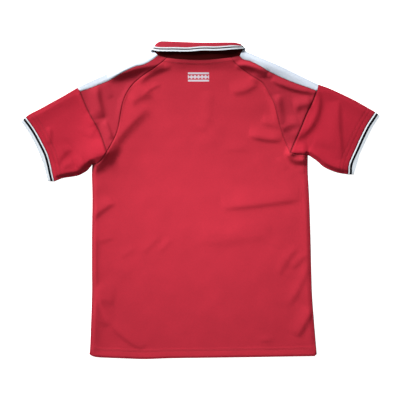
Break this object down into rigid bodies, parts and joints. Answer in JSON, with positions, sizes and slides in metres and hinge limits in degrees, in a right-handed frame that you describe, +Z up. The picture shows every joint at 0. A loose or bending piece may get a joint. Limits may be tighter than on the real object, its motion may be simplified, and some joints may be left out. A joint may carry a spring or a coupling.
{
  "type": "football jersey",
  "caption": "Short-sleeved football jersey with a folded collar, white shoulder strips and striped rib cuffs, laid flat with its back up.",
  "frame": {"origin": "centre of the laid garment in plan, on the surface that it lies on", "axes": "+Z up from the surface, through the back of the jersey; +Y from the hem to the collar; +X to the wearer's right sleeve, which is the long way across both sleeves"},
  "size_m": [0.868, 0.7669, 0.0243],
  "materials": {
    "body_knit": "matt interlock knit",
    "sleeve_knit": "matt interlock knit",
    "white_strip_knit": "matt interlock knit",
    "cuff_rib": "one-by-one rib with a dark stripe",
    "collar_rib": "flat-knitted rib with striped tipping"
  },
  "bodies": {
    "root": {"back_body": "body_knit", "front_body": "body_knit", "shoulder_back_left": "body_knit", "shoulder_back_right": "body_knit", "shoulder_stripe_left": "white_strip_knit", "shoulder_stripe_right": "white_strip_knit", "sleeve_left": "sleeve_knit", "sleeve_right": "sleeve_knit", "cuff_left": "cuff_rib", "cuff_right": "cuff_rib", "collar": "collar_rib"}
  },
  "joints": []
}
